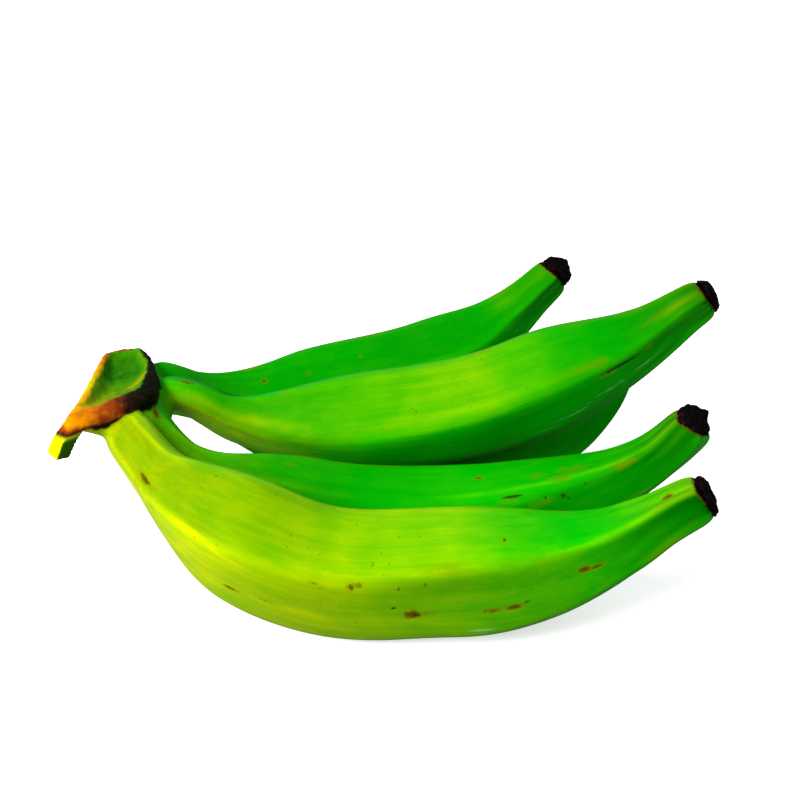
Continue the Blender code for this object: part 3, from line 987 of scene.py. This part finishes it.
# %% The crown and its torn strip
crown_corner = np.array(crown_low)
middle, dish_middle = RIM.mean(0), LIP.mean(0)
foot = WALL[1].mean(0) + (WALL[1] - WALL[1].mean(0)) * (FOOT_SIZE, FOOT_SIZE, 1)
rings = [foot - (0, 0, FOOT_DROP), WALL[1], WALL[0], RIM - np.outer(LIP_DROP, (0, 0, 1)),
         middle + (RIM - middle) * BULGE - np.outer(LIP_DROP, (0, 0, 0.5)),
         RIM, (RIM + LIP) / 2 + (0, 0, LIP_RISE), LIP]
rings += [dish_middle + (LIP - dish_middle) * (size, size, 1) - (0, 0, down)
          for down, size in DISH]
crown = drawn_rings("cut_crown", [crown_corner + with_middles(ring) * MM for ring in rings])
with_modifier(crown, "SUBSURF", levels=3, render_levels=3)

strip_rings = []
for *outer, inward in STRIP:
    inner = [np.array(corner) + np.array(inward) * STRIP_THICKNESS for corner in outer[::-1]]
    strip_rings.append(crown_corner + np.array([*outer, *inner]) * MM)
strip = drawn_rings("strip", strip_rings)
with_modifier(strip, "BEVEL", width=STRIP_EDGE, segments=2)
crown_places = np.concatenate([points_of(crown), points_of(strip)])
print("crown:", len(crown.data.polygons), "faces, strip:", len(strip.data.polygons))
for kind in FINGERS:
    print(kind, "root, mm from the crown's corner:",
          np.round((spines[kind].places[0] - crown_corner) / MM, 1))

# %% One skin for the crown, the strip and the necks
STUB_START, STUB_END = 0.06, 0.15  # a stub goes from fatter to thinner over this part
STUB_GROWN = 0.7 * MM
STUB_SHRUNK = 0.55 * MM
CROWN_VOXEL = 0.7 * MM


def neck_stub(kind):
    """A closed length of a finger's neck, to be swallowed by the crown's skin."""
    finger = fingers[kind]
    stub = bpy.data.objects.new("stub_" + kind, finger.data.copy())
    bpy.context.scene.collection.objects.link(stub)
    along = on_finger[kind]["along"]
    grow = STUB_GROWN - (STUB_GROWN + STUB_SHRUNK) * step(STUB_START, STUB_END, along)
    move_points(stub, points_of(stub) + normals_of(stub) * grow[:, None])
    only(stub)
    stub.data.vertices.foreach_set("select", along > STUB_END)
    bpy.ops.object.mode_set(mode="EDIT")
    bpy.ops.mesh.delete(type="VERT")
    bpy.ops.mesh.select_all(action="DESELECT")
    bpy.ops.mesh.select_non_manifold()
    bpy.ops.mesh.edge_face_add()
    only(stub)
    return stub


def tree_of(places):
    """A search tree over places, for finding the nearest of them."""
    tree = KDTree(len(places))
    for index, place in enumerate(places):
        tree.insert(place, index)
    tree.balance()
    return tree


stubs = [neck_stub(kind) for kind in FINGERS]
stub_places = np.concatenate([points_of(stub) for stub in stubs])
stub_kinds = np.concatenate([np.full(len(stub.data.vertices), kind)
                             for stub, kind in zip(stubs, FINGERS)])
only(*stubs, strip, crown)
bpy.ops.object.join()
with_modifier(crown, "REMESH", mode="VOXEL", voxel_size=CROWN_VOXEL)
print("crown after the remesh:", len(crown.data.polygons), "faces")

# %% Where a point of the crown lies
crown_tree, stub_tree = tree_of(crown_places), tree_of(stub_places)


def outline(ring):
    """A ring's corners in many small steps: direction from the dish's middle, distance, height."""
    ring = np.asarray(ring, float)
    steps = [ring + (np.roll(ring, -1, axis=0) - ring) * t for t in np.arange(0, 1, 0.05)]
    places = np.concatenate(steps) - dish_middle
    direction = np.degrees(np.arctan2(places[:, 1], places[:, 0])) % 360
    order = direction.argsort()
    return direction[order], np.hypot(places[:, 0], places[:, 1])[order], places[order, 2]


rim_outline, lip_outline = outline(RIM), outline(LIP)


def on_crown(points):
    """For points of the crown: the direction from the dish's middle, 0 to the right and 90 to
    the back, the place across the lip, 0 inside and 1 outside, and the depth below the rim."""
    places = (points - crown_corner) / MM - dish_middle
    direction = np.degrees(np.arctan2(places[:, 1], places[:, 0])) % 360
    reach = np.hypot(places[:, 0], places[:, 1])
    outer = np.interp(direction, rim_outline[0], rim_outline[1], period=360)
    inner = np.interp(direction, lip_outline[0], lip_outline[1], period=360)
    height = np.interp(direction, rim_outline[0], rim_outline[2], period=360)
    return direction, (reach - inner) / (outer - inner), height - places[:, 2]


def nearness(points):
    """How far points are from the crown's own shape and from the necks, in mm."""
    return (np.array([crown_tree.find(place)[2] for place in points]) / MM,
            np.array([stub_tree.find(place)[2] for place in points]) / MM)


# %% Smooth the joins
JOIN_ROUNDS = 40
JOIN_REACH = (4.5, 2.0)            # mm from both: nothing is smoothed yet, all of it is
BELOW_LIP = (2.0, 5.0)             # mm below the rim: the lip stays crisp

points = points_of(crown)
direction, across, depth = on_crown(points)
to_crown, to_neck = nearness(points)
weights = step(*JOIN_REACH, to_crown) * step(*JOIN_REACH, to_neck) * step(*BELOW_LIP, depth)
group = crown.vertex_groups.new(name="joins")
for index in np.nonzero(weights > 0)[0]:
    group.add([int(index)], float(weights[index]), "REPLACE")
with_modifier(crown, "SMOOTH", factor=0.5, iterations=JOIN_ROUNDS, vertex_group="joins")
with_modifier(crown, "SMOOTH", factor=0.5, iterations=2)
print("vertices smoothed at the joins:", int((weights > 0).sum()), "of", len(points))

# %% Lip, dish and wall
points = points_of(crown)
direction, across, depth = on_crown(points)
to_crown, to_neck = nearness(points)
own = step(1.2, -0.4, to_crown - to_neck)            # 1 on the crown itself, 0 on a neck
torn_edge = cloud(points, 4.5 * MM) * 0.9 + cloud(points, 1.7 * MM) * 0.7
corners = RIM - dish_middle
drop = np.interp(direction, np.degrees(np.arctan2(corners[:, 1], corners[:, 0])), LIP_DROP,
                 period=360)                         # how thick the lip is in each direction
dish = step(0.30, -0.10, across + torn_edge * 0.16) * step(9.0, 7.0, depth) * own
band = (1 - dish) * own * step(1.2, -0.2, depth - drop + torn_edge)
print("of the crown, in the dish:", round(dish.mean(), 2), "on the lip:", round(band.mean(), 2))

# %% Torn fibres on the lip and wrinkles in the dish
# How yellow the dried lip is in each direction from the middle of the cut, 1 yellow and 0 black:
# partly its dried colour and partly painted light and shade, yellow to the left towards the lamp.
LIP_WARMTH_AND_LIGHT = [(0, 0.0), (60, 0.02), (85, 0.26), (120, 0.66), (180, 0.78), (225, 0.80), (245, 0.70),
          (262, 0.54), (278, 0.38), (290, 0.20), (305, 0.04), (325, 0.0), (360, 0.0)]
LIP_ROUGHNESS = 0.7 * MM
DISH_ROUGHNESS = 0.35 * MM

lip_warmth_and_light = np.interp(direction, *zip(*LIP_WARMTH_AND_LIGHT))
crumple = cloud(points, 1.5 * MM) * 0.6 + cloud(points * (1, 1, 0.35), 3.0 * MM) * 0.6
wrinkle = cloud(points * (1, 0.4, 1), 2.4 * MM)
raised = (crumple * band * (1 - 0.7 * lip_warmth_and_light) * LIP_ROUGHNESS + wrinkle * dish * DISH_ROUGHNESS)
move_points(crown, points + normals_of(crown) * raised[:, None])
print("torn and wrinkled, mm:", round(raised.min() / MM, 2), "to", round(raised.max() / MM, 2))

# %% The peel's numbers on the crown
BLEND_ROUNDS = 150                 # how far the fingers' colours run into each other on the crown
SHADOW_UNDER_LIP = 0.30                   # how dark the painted shadow close under the lip is
ON_CROWN = (4.0, 1.0)              # mm from the crown's own shape: not part of it, all of it

points = points_of(crown)
nearest = stub_kinds[[stub_tree.find(place)[1] for place in points]]
grain, face, along = np.zeros((len(points), 3)), np.zeros(len(points)), np.zeros(len(points))
marks, lit_and_shaded_lines = np.zeros((len(points), 3)), np.zeros((len(points), 2))
for kind in FINGERS:
    mine = nearest == kind
    far, angle, reach, _ = spines[kind].locate(points[mine])
    grain[mine] = grain_at(kind, far, angle, reach)
    face[mine], along[mine] = around(kind, far, angle), np.clip(far, 0, 1)
    marks[mine] = marks_and_highlights_at(kind, far, angle, reach)
    lit_and_shaded_lines[mine] = light_and_shade_streaks_at(kind, far, angle, reach, grain[mine])
    print("the crown's points nearest to", kind + ":", int(mine.sum()))
# a painted shadow on the skin close under the lip
painted_shade = SHADOW_UNDER_LIP * step(6.0, 0.0, depth - drop) * step(*ON_CROWN, to_crown)
paint_peel(crown, nearest, along, face, ridge_at(face), grain, marks, lit_and_shaded_lines, painted_shade)
for name in ("lie", "shape"):
    soften(crown, name, step(*ON_CROWN, to_crown), BLEND_ROUNDS)

# %% [markdown]
# ## The crown's finish
#
# Below the lip the crown has the same skin as the fingers, with a painted shadow close under the
# lip. The cut has dried from its edge: the lip is straw yellow where the skin is thin, orange and
# then black where the stalk was thick, and it is also painted lighter on the left, towards the
# lamp, and darker on the right, as painted light and shade. The sunken pith is green going brown,
# painted lighter at the front and darker at the back of the hollow as painted light and shade. The
# torn strip is painted yellow on the side that faces the lamp and dark green on the side turned
# away, as painted light and shade. Three materials could be given to three sets of faces, but then
# the edges between them would follow the faces. Masks painted on the vertices, and roughened by
# noise, let each run out into the next.

# %% The cut's numbers on the crown
rel = (points - crown_corner) / MM
# the lip goes darker towards its foot on the front and right
lip_warmth_and_light -= 0.42 * step(-2.6, -0.6, depth - drop + torn_edge * 0.5) * step(200, 225, direction)
on_strip = (step(13.0, 9.0, rel[:, 1]) * step(23.5, 21.0, rel[:, 2]) * own
            * step(18, 16, rel[:, 0]))
# painted light and shade on the torn strip: its side turned away from the lamp is dark green, its
# side facing the lamp yellow
strip_shade = on_strip * step(-0.15, 0.35, normals_of(crown)[:, 0])
# painted light and shade in the dish: lighter at the front and beside the lip on the right, darker
# at the back of the hollow
dish_light_and_shade = (0.45 + 0.35 * step(60, 20, rel[:, 1]) - 0.3 * step(50, 62, rel[:, 1])
             + 0.35 * step(-1.6, -0.1, across) * step(120, 60, direction))
paint(crown, "cut", (dish, band * (1 - on_strip), lip_warmth_and_light))
paint(crown, "torn", (on_strip, strip_shade, dish_light_and_shade))
print("of the crown, on the strip:", round(on_strip.mean(), 3))

# %% Crown finish
# the pith runs from dark green to brown; the dish's painted light and shade pick the place on it
PITH = ((0.0, (0.010, 0.09, 0.0)), (0.35, (0.03, 0.20, 0.0)), (0.65, (0.12, 0.26, 0.0)),
        (1.0, (0.42, 0.32, 0.0)))
DRIED_LIP = ((0.0, (0.002, 0.0007, 0.001)), (0.2, (0.022, 0.005, 0.004)),
             (0.42, (0.28, 0.04, 0.003)), (0.60, (0.62, 0.20, 0.0)), (0.80, (0.66, 0.50, 0.0)),
             (1.0, (0.72, 0.68, 0.0)))
# the torn strip's painted light and shade, from yellow on its lit side to dark green on its side in
# shade
STRIP_LIGHT_AND_SHADE = ((0.2, (0.72, 0.66, 0.0)), (0.5, (0.16, 0.24, 0.0)), (0.8, (0.02, 0.07, 0.0)))
CUT_RELIEF = 0.5 * MM

stalk = Finish("cut_stalk")
skin, _, _ = peel_colour(stalk)
_, (dish, band, lip_warmth_and_light) = stalk.painted("cut")
_, (torn, painted_shade, dish_lit_and_shaded) = stalk.painted("torn")
place = stalk.node("ShaderNodeTexCoord", out="Object")
mottle = stalk.noise(place, 230, 4)
threads = stalk.noise(stalk.stretched(place, (1, 0.35, 1)), 600, 3)
for mask, laid in (
        (band, stalk.ramp(lip_warmth_and_light + (mottle - 0.5) * 0.34 + (threads - 0.5) * 0.1, DRIED_LIP)),
        (dish, stalk.ramp(dish_lit_and_shaded + (mottle - 0.5) * 0.5 + (threads - 0.5) * 0.3, PITH)),
        (torn, stalk.ramp(painted_shade + (mottle - 0.5) * 0.4, STRIP_LIGHT_AND_SHADE))):
    skin = stalk.mix(mask, skin, laid)
stalk.set(Base_Color=skin, Roughness=0.5 + (dish + band) * 0.2,
          Normal=stalk.bump(mottle * 0.7 + threads * 0.5, CUT_RELIEF, 0.6),
          Specular_IOR_Level=WAX, Specular_Tint=SHEEN)
crown.data.materials.clear()
crown.data.materials.append(stalk.material)
print("cut stalk:", len(stalk.tree.nodes), "nodes")

# %% [markdown]
# ## Dried flower ends
#
# Each finger's nose carries what is left of its flower: a black, crumpled stub that grips the end
# of the peel. A smooth cap would look like a rubber bung. So the plain stub is subdivided, its
# edge is drawn back over the nose a little unevenly, it is worn down and narrowed below by an
# amount of its own, and it is crumpled by two sizes of noise, with a small nub of the old style
# in its middle. Its finish is near black, with rusty edges where the flakes stand up.

# %% How each dried end is formed
END_LEVELS = 3
GRIP = 2.6 * MM                    # how far the edge reaches back over the nose
GRIP_SPREAD = 0.6 * MM             # and how far outwards
CRUMPLE, LUMP_SIZE, SMALL_LUMP = 0.75 * MM, 3.4 * MM, 1.5 * MM
END_SHIFT = 0.1                    # metres, so that no two ends are crumpled alike
END_FORM = {    # how high it stands, what it loses below, drawn in below, nub and its rise in mm
    "front": (0.52, 0.60, 0.18, 0.6, 1.0), "second": (0.64, 0.80, 0.14, 3.4, -0.3),
    "upper": (0.66, 0.35, 0.14, 0.6, 1.0), "back": (0.95, 0.50, 0.08, 1.6, 1.5),
    "lower_back": (0.80, 0.30, 0.05, 1.0, 0.5)}
NUB_SIZE = 2.9 * MM


def uneven_edge(number, right, up):
    """How far the edge of a dried end reaches back, as a part of the grip, round the end."""
    turn = np.arctan2(up, right)
    ring = np.stack([np.cos(turn), np.sin(turn), turn * 0 + number], 1) * 10 * MM
    return np.clip(0.55 + 0.75 * cloud(ring, 6 * MM) + 0.35 * cloud(ring, 2.5 * MM), -0.2, 1.6)


# %% Dried ends
dried_ends = {}
for number, kind in enumerate(FINGERS):
    piece = merged_copy("flower_end_" + kind, "dried_end_" + kind)
    with_modifier(piece, "SUBSURF", levels=END_LEVELS, render_levels=END_LEVELS,
                  subdivision_type="SIMPLE")
    with_modifier(piece, "SMOOTH", factor=0.5, iterations=6)
    points, spine = points_of(piece), spines[kind]
    ahead, sideways, upward = spine.forward[-1], spine.sideways[-1], spine.upward[-1]
    out = points - spine.places[-1]
    height, right, up = out @ ahead, out @ sideways, out @ upward
    reach = np.hypot(right, up)
    low = step(2.2 * MM, 0.2 * MM, height) * step(0.45, 0.85, reach / reach.max())
    outward = np.outer(right, sideways) + np.outer(up, upward)
    outward /= np.maximum(reach, 1e-5)[:, None]
    points = points - ahead * (GRIP * low * uneven_edge(number, right, up))[:, None]
    points = points + outward * (GRIP_SPREAD * low)[:, None]

    shifted = points + number * END_SHIFT
    lumps = cloud(shifted, LUMP_SIZE) + 0.6 * cloud(shifted, SMALL_LUMP)
    lumps *= CRUMPLE * step(-0.5 * MM, 1.5 * MM, height)
    points = points + normals_of(piece) * lumps[:, None]

    stand, slant, narrow, nub, rise = END_FORM[kind]
    upper_side = up / reach.max()
    kept = stand * (1 - slant * step(0.8, -1.0, upper_side))
    points = points - outward * (narrow * reach * step(0.0, -0.8, upper_side))[:, None]
    points = points - np.outer((1 - kept) * np.maximum(height, 0), ahead)
    top = step(0.3, 0.9, height / height.max())
    top = top * np.exp(-(np.hypot(right, up - rise * MM) / NUB_SIZE) ** 2)
    points = points + np.outer(top * nub * MM, ahead)
    move_points(piece, points)
    paint(piece, "edge", (low,))
    dried_ends[kind] = piece
    stands = ((points - spine.places[-1]) @ ahead).max()
    print("dried end", kind, "stands out, mm:", round(stands / MM, 1))

# %% Dried flower finish
HUSK = ((0.50, (0.001, 0.0006, 0.001)), (0.64, (0.003, 0.001, 0.002)),
        (0.78, (0.025, 0.005, 0.004)), (0.95, (0.08, 0.025, 0.008)))
HUSK_RELIEF = 0.6 * MM

husk = Finish("dried_flower")
_, (low, _, _) = husk.painted("edge")
place = husk.node("ShaderNodeTexCoord", out="Object")
flakes = husk.noise(place, 420, 4)
ash = husk.noise(place, 1300, 3)
husk.set(Base_Color=husk.ramp(flakes + low * 0.12, HUSK), Roughness=0.62 + ash * 0.25,
         Specular_IOR_Level=0.03, Normal=husk.bump(flakes * 0.7 + ash * 0.5, HUSK_RELIEF, 0.8))
for piece in dried_ends.values():
    piece.data.materials.append(husk.material)
print("dried flower:", len(husk.tree.nodes), "nodes")

# %% [markdown]
# ## What each piece stands for
#
# The plain pieces carry the model's weight and stop other things. They could be deleted now, but
# the model would lose all that with them, so they are only hidden. Each new piece is parented to
# the body it moves with, and the plain piece it stands for is hidden.

# %% Rides
for kind in FINGERS:
    for piece, node, slot in ((fingers[kind], "finger_", "green_peel"),
                              (dried_ends[kind], "flower_end_", "dried_flower")):
        only(piece)
        bpy.ops.object.shade_smooth()
        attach(piece, "root")
        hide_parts(node + kind)
only(crown)
bpy.ops.object.shade_smooth()
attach(crown, "root")
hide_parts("crown")
print("pieces:", len(fingers) + len(dried_ends) + 1)
